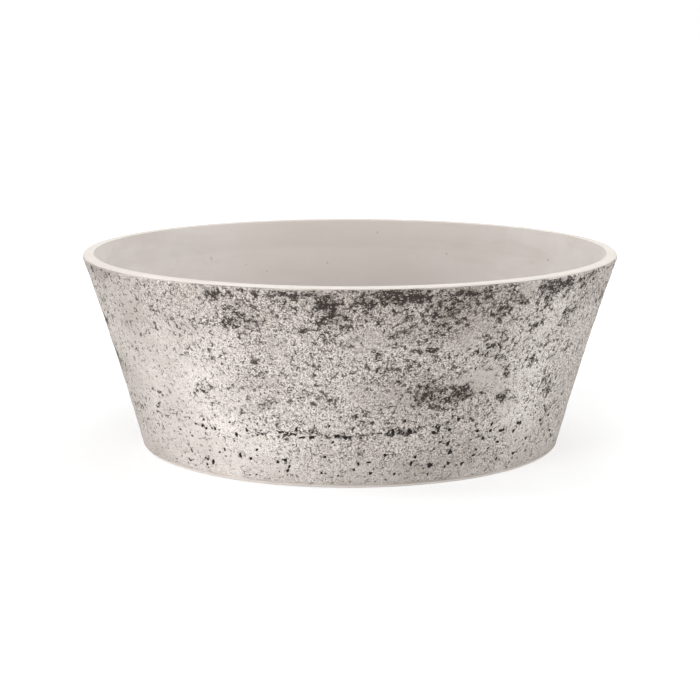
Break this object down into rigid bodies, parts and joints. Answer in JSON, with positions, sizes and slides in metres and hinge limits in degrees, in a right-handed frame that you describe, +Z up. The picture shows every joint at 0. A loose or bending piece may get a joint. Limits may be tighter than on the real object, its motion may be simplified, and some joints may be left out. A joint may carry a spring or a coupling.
{
  "type": "round planter bowl",
  "caption": "Low round planter with a flared, rough stone-look wall, a lift-out perforated drainage shelf on hollow wicking cups and a pull-out drain plug.",
  "frame": {"origin": "middle of the foot ring, on the surface that the planter stands on", "axes": "+Z up along the planter's axis; +X to the right and +Y away from the picture's camera; the shelf's finger holes lie on the X axis"},
  "size_m": [0.3302, 0.33, 0.12],
  "materials": {
    "bowl_resin": "matte",
    "shelf_plastic": "matte",
    "plug_rubber": "matte"
  },
  "bodies": {
    "bowl": {"bowl": "bowl_resin"},
    "shelf": {"drainage_shelf": "shelf_plastic"},
    "plug": {"drain_plug": "plug_rubber"}
  },
  "joints": [
    {"name": "shelf_lift", "type": "slide", "parent": "bowl", "child": "shelf", "axis": [0, 0, 1], "range_m": [0, 0.13]},
    {"name": "plug_pull", "type": "slide", "parent": "bowl", "child": "plug", "axis": [0, 0, -1], "range_m": [0, 0.03]}
  ]
}
